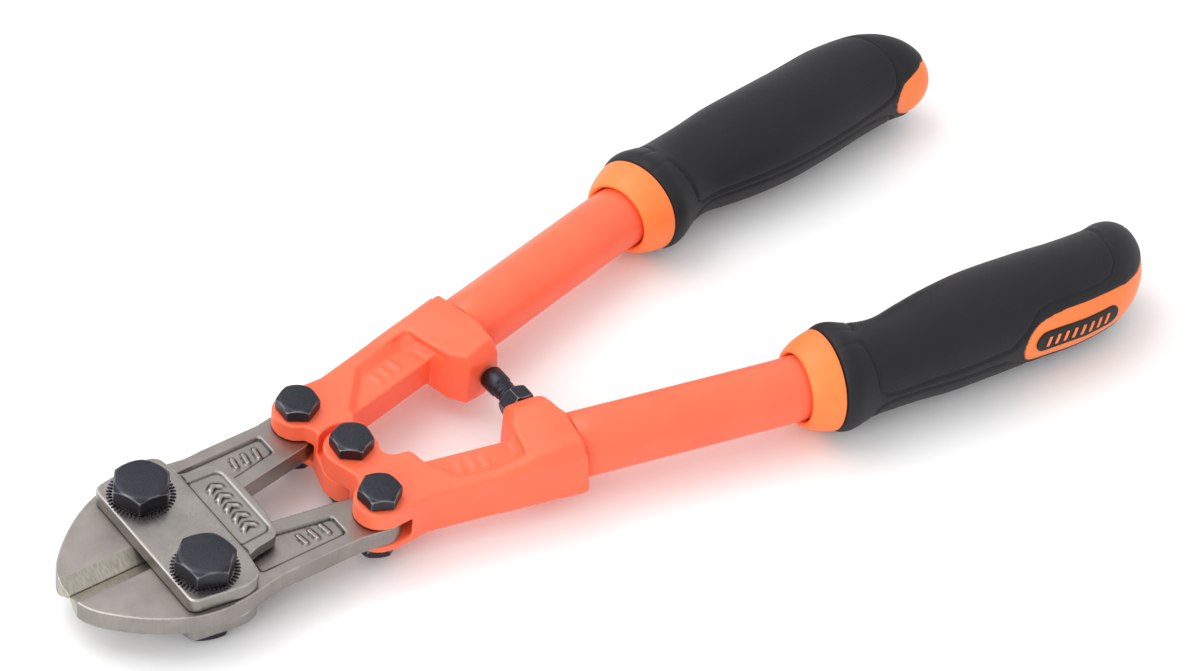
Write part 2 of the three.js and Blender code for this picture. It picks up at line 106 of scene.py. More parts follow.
def on_face(face):
    """Leaves a shape on the upper side, or mirrors it to the lower one."""
    return Matrix.Diagonal((1, 1, face, 1))


# ---- outlines -----------------------------------------------------------------------------
def arc(x, y, radius, start, end, steps):
    angles = np.radians(np.linspace(start, end, steps + 1))
    return [(x + radius * math.cos(a), y + radius * math.sin(a)) for a in angles]


def bezier(a, b, c, d, steps):
    t = np.linspace(0, 1, steps + 1)[:, None]
    points = (1 - t) ** 3 * np.array(a) + 3 * t * (1 - t) ** 2 * np.array(b)
    points = points + 3 * t**2 * (1 - t) * np.array(c) + t**3 * np.array(d)
    return [tuple(p) for p in points]


def rounded(corners, steps=6):
    """A closed outline from (x, y) or (x, y, radius) corners, each radius as an arc."""
    outline = []
    for i, corner in enumerate(corners):
        point = Vector(corner[:2])
        if len(corner) == 2:
            outline.append(tuple(point))
            continue
        before = (Vector(corners[i - 1][:2]) - point).normalized()
        after = (Vector(corners[(i + 1) % len(corners)][:2]) - point).normalized()
        half = before.angle(after) / 2
        reach = corner[2] / math.tan(half)
        centre = point + (before + after).normalized() * corner[2] / math.sin(half)
        first = point + before * reach - centre
        turn = first.angle_signed(point + after * reach - centre)
        for k in range(steps + 1):
            spoke = first.copy()
            spoke.rotate(Matrix.Rotation(-turn * k / steps, 2))
            outline.append(tuple(centre + spoke))
    return outline


def shrunk(corners, by, smallest=0.4):
    """The same corners moved in from every side, for the floor of a recess with sloping walls."""
    points = [Vector(c[:2]) for c in corners]
    turning = sum(a.x * b.y - b.x * a.y for a, b in zip(points, points[1:] + points[:1]))
    inward = 1 if turning > 0 else -1
    moved_in = []
    for i, corner in enumerate(corners):
        before = (points[i] - points[i - 1]).normalized()
        after = (points[(i + 1) % len(points)] - points[i]).normalized()
        sides = Vector((-before.y, before.x)) + Vector((-after.y, after.x))
        place = points[i] + sides * inward * by / (1 + before.dot(after))
        moved_in.append((*place, *[max(r - by, smallest) for r in corner[2:]]))
    return moved_in


# ---- solids -------------------------------------------------------------------------------
def solid(name, points, faces):
    mesh = bpy.data.meshes.new(name)
    mesh.from_pydata([tuple(map(float, p)) for p in points], [], faces)
    shape = bmesh.new()
    shape.from_mesh(mesh)
    bmesh.ops.remove_doubles(shape, verts=shape.verts, dist=1e-5)
    bmesh.ops.recalc_face_normals(shape, faces=shape.faces)
    shape.to_mesh(mesh)
    shape.free()
    part = bpy.data.objects.new(name, mesh)
    scene.collection.objects.link(part)
    return part


def prism(outline, bottom, top, floor=None):
    """An outline stood up between two heights, with another outline at the bottom if given."""
    count = len(outline)
    points = [(*p, bottom) for p in (floor or outline)] + [(*p, top) for p in outline]
    faces = [list(range(count)), list(range(count, 2 * count))]
    faces += [[i, (i + 1) % count, (i + 1) % count + count, i + count] for i in range(count)]
    return solid("solid", points, faces)


def post(x, y, radius, bottom, top, sides=24):
    """An upright round post, mostly to cut a hole with."""
    step = 360 / sides
    return prism(arc(x, y, radius, 0, 360 - step, sides - 1), bottom, top)


def bar(corners, bottom, top):
    return prism(rounded(corners, 3), bottom, top)


def recess(corners, bottom, top, slope):
    """A recess to cut, whose walls slope in by this much from mouth to floor."""
    return prism(rounded(corners), bottom, top, rounded(shrunk(corners, slope)))


def skin(name, rings, closed=False):
    """A surface through rings of points. A ring of one point is a pole."""
    points = []
    starts = []
    for ring in rings:
        starts.append(len(points))
        points += [tuple(p) for p in ring]
    faces = []
    pairs = list(range(len(rings) - 1)) + ([len(rings) - 1] if closed else [])
    for i in pairs:
        j = (i + 1) % len(rings)
        n, m = len(rings[i]), len(rings[j])
        for k in range(max(n, m)):
            near = [starts[i] + k % n, starts[i] + (k + 1) % n]
            far = [starts[j] + (k + 1) % m, starts[j] + k % m]
            faces.append(list(dict.fromkeys(near + far)))
    return solid(name, points, faces)


def turned(profile, sides=48):
    """A body of revolution about Z from (radius, height) pairs; both ends are on the axis."""
    spokes = np.radians(np.arange(sides) * 360 / sides)
    rings = []
    for radius, height in profile:
        if radius == 0:
            rings.append([(0, 0, height)])
        else:
            rings.append([(radius * math.cos(a), radius * math.sin(a), height) for a in spokes])
    return skin("turned", rings)


def settle(part):
    """Applies a part's modifiers."""
    graph = bpy.context.evaluated_depsgraph_get()
    mesh = bpy.data.meshes.new_from_object(part.evaluated_get(graph))
    part.modifiers.clear()
    spent = part.data
    part.data = mesh
    bpy.data.meshes.remove(spent)
    return part


def combine(part, others, operation):
    for other in others:
        step = part.modifiers.new("combine", "BOOLEAN")
        step.object = other
        step.operation = operation
        step.solver = "MANIFOLD"
    settle(part)
    for other in others:
        bpy.data.objects.remove(other)
    return part


def soften(part, grain, rounds):
    """Rounds every edge over, as casting, tumbling or coating does. grain is the mesh size."""
    remesh = part.modifiers.new("remesh", "REMESH")
    remesh.mode = "VOXEL"
    remesh.voxel_size = grain
    ease = part.modifiers.new("ease", "SMOOTH")
    ease.factor = 0.5
    ease.iterations = rounds
    settle(part)
    mark_edges(part)
    return part


def mark_edges(part):
    """Stores how sharply the surface turns at each point, per millimetre, as "edge": above
    zero on an outer edge, where wear shows, and below it in a corner, where the steel gets painted
    shade."""
    mesh = part.data
    count = len(mesh.vertices)
    place = np.empty(count * 3)
    mesh.vertices.foreach_get("co", place)
    place = place.reshape(-1, 3)
    normal = np.empty(count * 3)
    mesh.vertices.foreach_get("normal", normal)
    normal = normal.reshape(-1, 3)
    ends = np.empty(len(mesh.edges) * 2, dtype=np.int64)
    mesh.edges.foreach_get("vertices", ends)
    a, b = ends.reshape(-1, 2).T
    share = 1 / np.maximum(np.bincount(ends, minlength=count), 1)

    def neighbours(values):
        total = np.bincount(a, values[b], count) + np.bincount(b, values[a], count)
        return total * share

    mean = np.stack([neighbours(place[:, k]) for k in range(3)], 1)
    length = np.mean(np.linalg.norm(place[a] - place[b], axis=1))
    bend = -np.sum((mean - place) * normal, axis=1) * 4 / length**2
    for _ in range(4):
        bend = (bend + neighbours(bend)) / 2
    layer = mesh.attributes.new("edge", "FLOAT", "POINT")
    layer.data.foreach_set("value", bend.astype(np.float32))


def moved(part, matrix):
    part.data.transform(matrix)
    if matrix.determinant() < 0:
        part.data.flip_normals()
    return part


def finish(part, name, body, nodes, slot, place=None):
    """Puts a part in its place in the tool and hands it to its body."""
    moved(part, TOOL @ (place or Matrix.Identity(4)))
    part.name = name
    part.data.name = name
    part.data.materials.clear()
    part.data.materials.append(MATERIALS[slot])
    part.data.shade_smooth()
    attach(part, body)
    if nodes:
        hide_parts(*nodes)
    return part


# ---- materials ----------------------------------------------------------------------------
def linear(code):
    """An sRGB hex colour as linear RGBA."""
    channels = [int(code[i : i + 2], 16) / 255 for i in (1, 3, 5)]
    return (*[c / 12.92 if c <= 0.04045 else ((c + 0.055) / 1.055) ** 2.4 for c in channels], 1)


def grains(size_mm):
    """The scale that makes a noise feature about this size, on coordinates in metres."""
    return 1 / (size_mm * MM)


def node(tree, kind, links=None, **settings):
    made = tree.nodes.new(kind)
    for key, value in settings.items():
        setattr(made, key, value)
    for socket, source in (links or {}).items():
        if isinstance(source, bpy.types.NodeSocket):
            tree.links.new(source, made.inputs[socket])
        else:
            made.inputs[socket].default_value = source
    return made


def start_material(name, **shader):
    """A new material: its node tree, its shader and its object coordinates."""
    material = bpy.data.materials.new(name)
    material.use_nodes = True
    tree = material.node_tree
    surface = tree.nodes["Principled BSDF"]
    for socket, value in shader.items():
        surface.inputs[socket.replace("_", " ")].default_value = value
    where = node(tree, "ShaderNodeTexCoord").outputs["Object"]
    return material, tree, surface, where


def steel(name, clean, dark, bright, grain_mm, roughness, streak=0.12, contrast=0.09):
    """Bare tool steel: satin, a little mottled, bright on its edges, and darkened in its corners by
    painted shade.
    """
    material, tree, surface, where = start_material(name, Metallic=1.0)
    lay = node(tree, "ShaderNodeMapping", {"Vector": where, "Scale": (1, 1, streak)})
    cloud = node(tree, "ShaderNodeTexNoise", {"Vector": where, "Scale": grains(7), "Detail": 3.0})
    grain = node(
        tree, "ShaderNodeTexNoise",
        {"Vector": lay.outputs[0], "Scale": grains(grain_mm), "Detail": 4.0, "Roughness": 0.6},
    )
    edge = node(tree, "ShaderNodeAttribute", attribute_name="edge")
    rubbed = node(
        tree, "ShaderNodeMath",
        {0: grain.outputs[0], 1: 0.5, 2: edge.outputs["Fac"]}, operation="MULTIPLY_ADD",
    )
    worn = node(
        tree, "ShaderNodeMapRange",
        {"Value": rubbed.outputs[0], "From Min": 1.1, "From Max": 2.9},
    )
    # Painted shade: concave corners are darkened towards the dark colour, standing in for the shade
    # that falls there.
    painted_shade_mask = node(
        tree, "ShaderNodeMapRange",
        {"Value": edge.outputs["Fac"], "From Min": -0.15, "From Max": -0.9},
    )
    mottle = node(
        tree, "ShaderNodeMapRange",
        {
            "Value": cloud.outputs[0], "From Min": 0.35, "From Max": 0.65,
            "To Min": 0.9, "To Max": 1.06,
        },
    )
    speckle = node(
        tree, "ShaderNodeMapRange",
        {
            "Value": grain.outputs[0], "From Min": 0.3, "From Max": 0.7,
            "To Min": 1 - contrast, "To Max": 1 + contrast,
        },
    )
    shade = node(
        tree, "ShaderNodeMath", {0: mottle.outputs[0], 1: speckle.outputs[0]}, operation="MULTIPLY"
    )
    base = node(
        tree, "ShaderNodeVectorMath",
        {0: linear(clean)[:3], "Scale": shade.outputs[0]}, operation="SCALE",
    )
    # Mixes the painted shade into the corners.
    shaded_corners = node(
        tree, "ShaderNodeMix", {0: painted_shade_mask.outputs[0], 6: base.outputs[0], 7: linear(dark)},
        data_type="RGBA",
    )
    colour = node(
        tree, "ShaderNodeMix", {0: worn.outputs[0], 6: shaded_corners.outputs[2], 7: linear(bright)},
        data_type="RGBA",
    )
    gloss = node(
        tree, "ShaderNodeMapRange",
        {
            "Value": grain.outputs[0], "From Min": 0.3, "From Max": 0.7,
            "To Min": roughness - 0.07, "To Max": roughness + 0.1,
        },
    )
    relief = node(
        tree, "ShaderNodeBump",
        {"Height": grain.outputs[0], "Strength": 0.35, "Distance": 0.05 * MM},
    )
    tree.links.new(colour.outputs[2], surface.inputs["Base Color"])
    tree.links.new(gloss.outputs[0], surface.inputs["Roughness"])
    tree.links.new(relief.outputs[0], surface.inputs["Normal"])
    return material


def ground_bevels(material, straw):
    """Adds the ground cutting bevels to jaw steel: straw coloured, with grit marks across them."""
    tree = material.node_tree
    surface = tree.nodes["Principled BSDF"]
    plain = surface.inputs["Base Color"].links[0].from_socket
    where = node(tree, "ShaderNodeTexCoord").outputs["Object"]
    part = node(tree, "ShaderNodeSeparateXYZ", {"Vector": where})
    off = node(tree, "ShaderNodeMath", {0: part.outputs["Y"]}, operation="ABSOLUTE")
    near = node(
        tree, "ShaderNodeMapRange",
        {
            "Value": off.outputs[0],
            "From Min": BEVEL_WIDTH * MM, "From Max": (BEVEL_WIDTH - 0.2) * MM,
        },
    )
    ahead = node(
        tree, "ShaderNodeMath",
        {0: part.outputs["X"], 1: CENTRE_BOLT.x + BEVEL_START * MM}, operation="LESS_THAN",
    )
    bevel = node(
        tree, "ShaderNodeMath", {0: near.outputs[0], 1: ahead.outputs[0]}, operation="MULTIPLY"
    )
    across = node(tree, "ShaderNodeMapping", {"Vector": where, "Scale": (1, 0.12, 0.4)})
    marks = node(
        tree, "ShaderNodeTexNoise",
        {"Vector": across.outputs[0], "Scale": grains(0.4), "Detail": 3.0},
    )
    shade = node(
        tree, "ShaderNodeMapRange",
        {
            "Value": marks.outputs[0], "From Min": 0.35, "From Max": 0.65,
            "To Min": 0.82, "To Max": 1.12,
        },
    )
    fresh = node(
        tree, "ShaderNodeVectorMath",
        {0: linear(straw)[:3], "Scale": shade.outputs[0]}, operation="SCALE",
    )
    colour = node(
        tree, "ShaderNodeMix", {0: bevel.outputs[0], 6: plain, 7: fresh.outputs[0]},
        data_type="RGBA",
    )
    tree.links.new(colour.outputs[2], surface.inputs["Base Color"])


def coated(name, colour, tint, roughness, peel_mm, peel_depth, grit_mm, grit_depth, **shader):
    """Paint, plastic or rubber: one colour that drifts a little, over a fine surface texture."""
    material, tree, surface, where = start_material(name, Roughness=roughness, **shader)
    cloud = node(tree, "ShaderNodeTexNoise", {"Vector": where, "Scale": grains(14), "Detail": 3.0})
    peel = node(
        tree, "ShaderNodeTexNoise", {"Vector": where, "Scale": grains(peel_mm), "Detail": 1.0}
    )
    grit = node(
        tree, "ShaderNodeTexNoise", {"Vector": where, "Scale": grains(grit_mm), "Detail": 2.0}
    )
    drift = node(
        tree, "ShaderNodeMapRange",
        {"Value": cloud.outputs[0], "From Min": 0.3, "From Max": 0.7},
    )
    mixed = node(
        tree, "ShaderNodeMix", {0: drift.outputs[0], 6: linear(colour), 7: linear(tint)},
        data_type="RGBA",
    )
    gloss = node(
        tree, "ShaderNodeMapRange",
        {
            "Value": grit.outputs[0], "From Min": 0.3, "From Max": 0.7,
            "To Min": roughness - 0.05, "To Max": roughness + 0.07,
        },
    )
    wave = node(
        tree, "ShaderNodeBump",
        {"Height": peel.outputs[0], "Strength": 1.0, "Distance": peel_depth * MM},
    )
    fine = node(
        tree, "ShaderNodeBump",
        {
            "Height": grit.outputs[0], "Strength": 1.0, "Distance": grit_depth * MM,
            "Normal": wave.outputs[0],
        },
    )
    tree.links.new(mixed.outputs[2], surface.inputs["Base Color"])
    tree.links.new(gloss.outputs[0], surface.inputs["Roughness"])
    tree.links.new(fine.outputs[0], surface.inputs["Normal"])
    return material


# Drop-forged chrome-molybdenum steel, tumbled after grinding: warm grey and softly speckled.
# The second colour of each steel is the painted shade laid into its concave corners.
forged_steel = steel("tumbled_forged_steel", "#928C88", "#45413E", "#C9C4BD", 0.35, 0.36)
ground_bevels(forged_steel, "#ABA69B")
# Stamped strap plate, linished flat and tumbled: a little lighter and smoother than the jaws.
strap_steel = steel("linished_strap_steel", "#938E8A", "#3A3633", "#D0CBC4", 0.3, 0.33)
# Black oxide over turned and cold-headed steel: near black, rubbed to grey on its corners.
black_oxide = steel("black_oxide_steel", "#3C3C43", "#1A1A1C", "#88888C", 0.4, 0.38, 1.0, 0.22)
# Polyester powder coat: satin, with the shallow orange peel that cured powder leaves.
powder_coat = coated(
    "satin_powder_coat", "#FF6C48", "#FA6642", 0.42, 1.6, 0.02, 0.35, 0.006
)
# Injection-moulded polypropylene: a lighter orange, with fine spark-eroded mould grain.
orange_plastic = coated("moulded_polypropylene", "#FF843E", "#FB7C38", 0.45, 2.2, 0.015, 0.3, 0.01)
# Over-moulded thermoplastic rubber: near black and matt, with a slightly coarser mould grain.
soft_rubber = coated(
    "moulded_soft_rubber", "#121116", "#16151B", 0.55, 2.5, 0.02, 0.3, 0.02, Specular_IOR_Level=0.35
)
MATERIALS = {
    "jaw_steel": forged_steel,
    "strap_steel": strap_steel,
    "black_oxide": black_oxide,
    "powder_coat": powder_coat,
    "grip_plastic": orange_plastic,
    "grip_rubber": soft_rubber,
}


# ---- fasteners ----------------------------------------------------------------------------
def hexagon(corner, bottom, top, turn, eased_bottom=False):
    """A hexagon whose corners are turned off by a cone, at the top and if asked at the bottom."""
    flats = arc(0, 0, corner, math.degrees(turn), math.degrees(turn) + 300, 5)
    flat = corner * math.cos(math.pi / 6)
    face = flat - 0.2
    drop = (corner - face) * 0.85
    wide = corner + 1
    low = face if eased_bottom else wide
    cone = turned([
        (0, bottom),
        (low, bottom),
        (wide, bottom + (wide - low) * 0.6),
        (wide, top - drop - 0.85),
        (face, top - 0.1),
        (face * 0.85, top),
        (0, top + 0.1),
    ], 64)
    return combine(prism(flats, bottom, top + 1), [cone], "INTERSECT")


def threaded_shank(radius, bottom, top):
    """A round shank with thread ridges all the way up."""
    profile = [(0, bottom), (radius - 0.7, bottom)]
    height = bottom + 0.4
    while height < top - THREAD_PITCH:
        profile += [(radius, height), (radius - THREAD_PITCH / 2, height + THREAD_PITCH / 2)]
        height += THREAD_PITCH
    profile += [(radius, top), (0, top)]
    return turned(profile, 32)


def hex_bolt(size, seat, end, turn):
    head = hexagon(size["corner"], seat, seat + size["head"], turn)
    shank = threaded_shank(size["shank"], end, seat + 1)
    return soften(combine(head, [shank], "UNION"), size["mesh"], 3)


def hex_nut(size, seat, turn):
    """A nut whose upper face is at the seat."""
    nut = hexagon(size["corner"], seat - size["nut"], seat, turn, eased_bottom=True)
    hole = post(0, 0, size["shank"] + 0.3, seat - size["nut"] - 1, seat + 1)
    return soften(combine(nut, [hole], "DIFFERENCE"), size["mesh"], 2)


def jaw_fasteners(sign):
    side = side_of(sign)
    turn = HEX_TURN["jaw"][0 if sign > 0 else 1] * sign
    place = Matrix.Translation((JAW_PIVOT[0], sign * JAW_PIVOT[1], 0)) @ mirror(sign)
    seat = STRAP_TOP + GAP
    bolt = hex_bolt(M8, seat, RESTING_Z, turn)
    finish(bolt, f"jaw_bolt_head_{side}", "straps", [f"jaw_bolt_{side}"], "black_oxide", place)
    nut = hex_nut(M8, -seat, turn)
    finish(nut, f"jaw_nut_hex_{side}", "straps", [f"jaw_nut_{side}"], "black_oxide", place)


def handle_fasteners(name, turn, body, place):
    """A bolt through the handle heads, whose end stands a little past its nut."""
    nut_seat = HEAD_BOTTOM - GAP
    end = nut_seat - M6["nut"] - 0.5
    bolt = hex_bolt(M6, HEAD_TOP + GAP, end, turn)
    nut = hex_nut(M6, nut_seat, turn)
    finish(bolt, f"{name}_head", body, [name.replace("pin", "bolt")], "black_oxide", place)
    finish(nut, f"{name}_hex", body, [name.replace("pin", "nut")], "black_oxide", place)


# ---- jaws ---------------------------------------------------------------------------------
def jaw_outline():
    """The right jaw, from its cutting edge round its tail and back along its outside."""
    x, y = TAIL_PIVOT
    return (
        [(-78.2, 0.1), (-51.5, 0.1)]
        + rounded([(-51.5, 0.1), (-26, 6.4, 12), (-5.2, 10, 3), (x + 2, y - 4)])[1:-1]
        + arc(x, y, 6, -53, 94, 16)
        + [(-12, 22), (-34, 21.8)]
        + bezier((-34, 21.8), (-41, 23), (-45, 23.8), (-50, 23.8), 8)[1:]
        + bezier((-50, 23.8), (-60, 23.6), (-69, 17), (-75.5, 10), 16)[1:]
        + bezier((-75.5, 10), (-77.6, 7.6), (-78.9, 5), (-78.7, 3), 6)[1:]
    )


def edge_wedge(face):
    """What is ground away above or below the cutting edge."""
    profile = [(-2, 0.4), (0.1, 0.4), (BEVEL_WIDTH, 2.75), (BEVEL_WIDTH, 4), (-2, 4)]
    wedge = prism([(y, face * z) for y, z in profile], -83, BEVEL_START)
    return moved(wedge, Matrix(((0, 0, 1, 0), (1, 0, 0, 0), (0, 1, 0, 0), (0, 0, 0, 1))))


def tail_recess(face):
    corners = [(-38, 18.9, 1), (-13.6, 18.9, 1.2), (-13.6, 12.2, 1.2), (-28, 9.6, 2), (-38, 9.6, 1)]
    panel = recess(corners, JAW_HALF - 0.8, JAW_HALF + 0.2, 0.5)
    return moved(panel, on_face(face))


def recess_bars(face):
    """Plain raised bars on the floor of the recess."""
    bars = []
    for i in range(3):
        x = -24.5 + 3.2 * i
        corners = [(x, 12.6, 0.4), (x + 1.1, 12.6, 0.4), (x + 1.7, 16.4, 0.4), (x + 0.6, 16.4, 0.4)]
        bars.append(moved(bar(corners, JAW_HALF - 1.2, JAW_HALF - 0.3), on_face(face)))
    return bars


def jaw(sign):
    """A jaw. The left tail hole is oversize, to let the left tail bolt swing through its arc."""
    side = side_of(sign)
    tail_hole = M6["hole"] if sign > 0 else LOOSE_HOLE
    blank = prism(jaw_outline(), -JAW_HALF, JAW_HALF)
    combine(blank, [edge_wedge(1), edge_wedge(-1), tail_recess(1), tail_recess(-1)], "DIFFERENCE")
    combine(blank, recess_bars(1) + recess_bars(-1), "UNION")
    holes = [
        post(*JAW_PIVOT, M8["hole"], -5, 5, 45),
        post(*TAIL_PIVOT, tail_hole, -5, 5, 45),
    ]
    combine(blank, holes, "DIFFERENCE")
    soften(blank, FORGED_MESH, 3)
    finish(blank, f"forged_jaw_{side}", f"jaw_{side}", [f"jaw_{side}"], "jaw_steel", mirror(sign))


# ---- straps -------------------------------------------------------------------------------
def serration_tree():
    """Teeth pressed round a bolt head: wedges on a ring, pointing at its centre."""
    tree = bpy.data.node_groups.new("serration_ring", "GeometryNodeTree")
    face = tree.interface
    face.new_socket("Geometry", in_out="INPUT", socket_type="NodeSocketGeometry")
    for name, kind, value in (
        ("Teeth", "NodeSocketInt", 46),
        ("Ring Radius", "NodeSocketFloat", 7.5),
        ("Tooth Length", "NodeSocketFloat", 1.5),
        ("Tooth Width", "NodeSocketFloat", 0.36),
        ("Tooth Height", "NodeSocketFloat", 0.4),
    ):
        face.new_socket(name, in_out="INPUT", socket_type=kind).default_value = value
    face.new_socket("Material", in_out="INPUT", socket_type="NodeSocketMaterial")
    face.new_socket("Geometry", in_out="OUTPUT", socket_type="NodeSocketGeometry")
    given = node(tree, "NodeGroupInput").outputs
    ring = node(
        tree, "GeometryNodeMeshCircle", {"Vertices": given["Teeth"], "Radius": given["Ring Radius"]}
    )
    tooth = node(
        tree, "GeometryNodeMeshCone",
        {"Vertices": 4, "Radius Top": 0.35, "Radius Bottom": 0.7071, "Depth": 1.0},
    )
    square = node(
        tree, "GeometryNodeTransform",
        {"Geometry": tooth.outputs["Mesh"], "Rotation": (0, 0, math.radians(45))},
    )
    size = node(
        tree, "ShaderNodeCombineXYZ",
        {"X": given["Tooth Length"], "Y": given["Tooth Width"], "Z": given["Tooth Height"]},
    )
    sized = node(
        tree, "GeometryNodeTransform", {"Geometry": square.outputs[0], "Scale": size.outputs[0]}
    )
    place = node(tree, "GeometryNodeInputPosition")
    facing = node(tree, "FunctionNodeAlignRotationToVector", {"Vector": place.outputs[0]}, axis="X")
    row = node(
        tree, "GeometryNodeInstanceOnPoints",
        {
            "Points": ring.outputs[0], "Instance": sized.outputs[0],
            "Rotation": facing.outputs[0],
        },
    )
    real = node(tree, "GeometryNodeRealizeInstances", {"Geometry": row.outputs[0]})
    done = node(
        tree, "GeometryNodeSetMaterial",
        {"Geometry": real.outputs[0], "Material": given["Material"]},
    )
    node(tree, "NodeGroupOutput", {"Geometry": done.outputs[0]})
    return tree


def serrations(tree, x, y, z):
    ring = solid("serrations", [(0, 0, 0)], [])
    step = ring.modifiers.new("serrations", "NODES")
    step.node_group = tree
    for socket in tree.interface.items_tree:
        if socket.in_out == "INPUT" and socket.name == "Material":
            step[socket.identifier] = black_oxide
    settle(ring)
    return moved(ring, Matrix.Translation((x, y, z)))


def strap_outline():
    half = [(-58.8, 21.3, 2.4), (-45, 23.4, 8), (-40.3, 22.2, 3.2), (-39.3, 15, 3)]
    other = [(p[0], -p[1], *p[2:]) for p in half[::-1]]
    return rounded(half + other)


def tab_outline():
    half = [(-43, 14.5), (-39.5, 15.4), (-36, 14.2, 4), (-29.6, 13.4, 3.2), (-28.2, 6, 3)]
    other = [(p[0], -p[1], *p[2:]) for p in half[::-1]]
    return rounded(half + other)


def chevrons():
    """A plain row of raised chevrons across the tab."""
    marks = []
    for i in range(5):
        y = 3.6 * (i - 2)
        mark = [
            (-36, y - 1.3), (-34.2, y), (-32.2, y - 1.3),
            (-32.2, y), (-34.2, y + 1.3), (-36, y),
        ]
        marks.append(prism(mark, STRAP_TOP - 1.4, STRAP_TOP - 0.45))
    return marks


def strap(face, name, tree):
    plate = prism(strap_outline(), STRAP_BOTTOM, STRAP_TOP)
    combine(plate, [prism(tab_outline(), STRAP_BOTTOM, STRAP_TOP - 0.6)], "UNION")
    panel = [(-39.6, 12.2, 1), (-39.6, -12.2, 1), (-29.8, -11.6, 2.4), (-29.8, 11.6, 2.4)]
    cuts = [recess(panel, STRAP_TOP - 0.9, STRAP_TOP - 0.3, 0.4)]
    for y in (JAW_PIVOT[1], -JAW_PIVOT[1]):
        cuts.append(post(JAW_PIVOT[0], y, M8["hole"], 0, 9, 45))
    combine(plate, cuts, "DIFFERENCE")
    combine(plate, chevrons(), "UNION")
    soften(plate, FORGED_MESH, 3)
    flip = Matrix.Rotation(math.pi if face < 0 else 0, 4, "X")
    finish(plate, name, "straps", [name.replace("plate", "strap")], "strap_steel", flip)
    for sign in (1, -1):
        teeth = serrations(tree, JAW_PIVOT[0], sign * JAW_PIVOT[1], STRAP_TOP)
        finish(teeth, f"serration_{name}_{side_of(sign)}", "straps", [], "black_oxide", flip)


# ---- handle heads -------------------------------------------------------------------------
ARM_INNER = HANDLE_OFFSET - 4
ARM_OUTER = HANDLE_OFFSET + 9
LUG_END = -2.6
HUB_RADIUS = 6.8
FORK_RADIUS = 6.2
LAP_RADIUS = 8.3
LAP_HEIGHT = (HEAD_TOP + HEAD_BOTTOM) / 2
WIDE_SHOULDER = 6.0
NARROW_SHOULDER = 2.2


def head_outline(shouldered):
    """A handle head, from its hub along the inside of the arm and back to the fork."""
    if shouldered:
        neck = [(5.9, 4.2, 3), (8.6, 5.5, 3), (12.6, 5.5, 1.2), (14.6, ARM_INNER, 0.8)]
    else:
        neck = [(6.4, 5.2, 2), (10.5, ARM_INNER, 5)]
    corners = neck + [
        (HEAD_END, ARM_INNER),
        (HEAD_END, ARM_OUTER + 0.5),
        (12, ARM_OUTER, 8),
        (2.2, PIVOT_SPACING + FORK_RADIUS, 3),
    ]
    return (
        arc(0, 0, HUB_RADIUS, 155, 385, 30)
        + rounded([(6.2, 2.9)] + corners + [(0.6, PIVOT_SPACING + FORK_RADIUS)])[1:-1]
        + arc(0, PIVOT_SPACING, FORK_RADIUS, 84, 240, 20)
        + [(-2.4, 9.6)]
    )


def arm_recess(face, near_hub):
    """The sunk web of the arm, with wide sloping walls, open towards the middle of the tool."""
    start = [(5.2, -9, 0.5), (8.4, 9.4, 3)] if near_hub else [(11.4, -9, 0.5), (13.4, 9.6, 3)]
    end = [(36.2, 18.0, 3), (39.6, 14, 3), (39.8, 6, 3), (38.4, -9, 0.5)]
    surface = HEAD_TOP if face > 0 else -HEAD_BOTTOM
    web = recess(start + [(20.6, 18.2, 3)] + end, surface - 2.2, surface + 0.3, 2.4)
    return moved(web, on_face(face))


def arm_bars():
    """Plain raised bars on the web."""
    bars = []
    for i in range(3):
        x = 22.5 + 3.4 * i
        corners = [(x, 11, 0.5), (x + 1.2, 11, 0.5), (x + 1.2, 15, 0.5), (x, 15, 0.5)]
        bars.append(bar(corners, HEAD_TOP - 3, HEAD_TOP - 1.85))
    return bars


def fork_slot():
    """The gap that the jaw's tail turns in."""
    outline = arc(0, PIVOT_SPACING, LAP_RADIUS, -112, 40, 20) + [(3, 48), (-30, 48), (-30, 10)]
    return prism(outline, -STRAP_BOTTOM, STRAP_BOTTOM)


def spigot():
    """The round end of the head, which the tube is pushed over."""
    part = turned([(0, 48), (6.8, 48), (6.8, HEAD_END + 14), (0, HEAD_END + 14)], 64)
    middle = Matrix.Translation((0, HANDLE_OFFSET, HANDLE_LIFT))
    return moved(part, middle @ Matrix.Rotation(math.pi / 2, 4, "Y"))


END_DRAFT = 2 / 15.2  # the end of the head leans back this much for each mm up
BLOCK = [
    # along, inner edge, top, bottom, top outer chamfer across and down
    (24.0, 17.4, 7.8, -4.6, 0.8, 0.8),
    (30.0, 17.0, 8.2, -4.6, 0.8, 0.8),
    (36.0, 16.0, 9.2, -4.7, 1.4, 1.4),
    (38.3, 15.4, 9.6, -4.8, 1.7, 1.9),
    (38.6, 7.0, 9.7, -4.8, 1.7, 2.0),
    (39.2, 1.6, 9.8, -4.9, 1.8, 2.2),
    (41.4, LUG_END, 10.1, -5.1, 2.0, 2.7),
    (45.0, LUG_END, 10.5, -5.9, 2.3, 3.3),
    (48.0, LUG_END, 10.8, -6.3, 2.5, 3.8),
    (52.0, LUG_END, 10.8, -6.4, 2.6, 4.2),
    (53.4, 1.2, 10.8, -6.4, 2.6, 4.2),
    (HEAD_END, 3.9, 10.8, -5.2, 2.8, 4.4),
]


LEAN_START = 44.0


def leaning(along, height):
    """Where a point of the block lies along the handle once its end leans back."""
    share = min(max((along - LEAN_START) / (HEAD_END - LEAN_START), 0), 1)
    return along - END_DRAFT * (height - HEAD_BOTTOM) * share


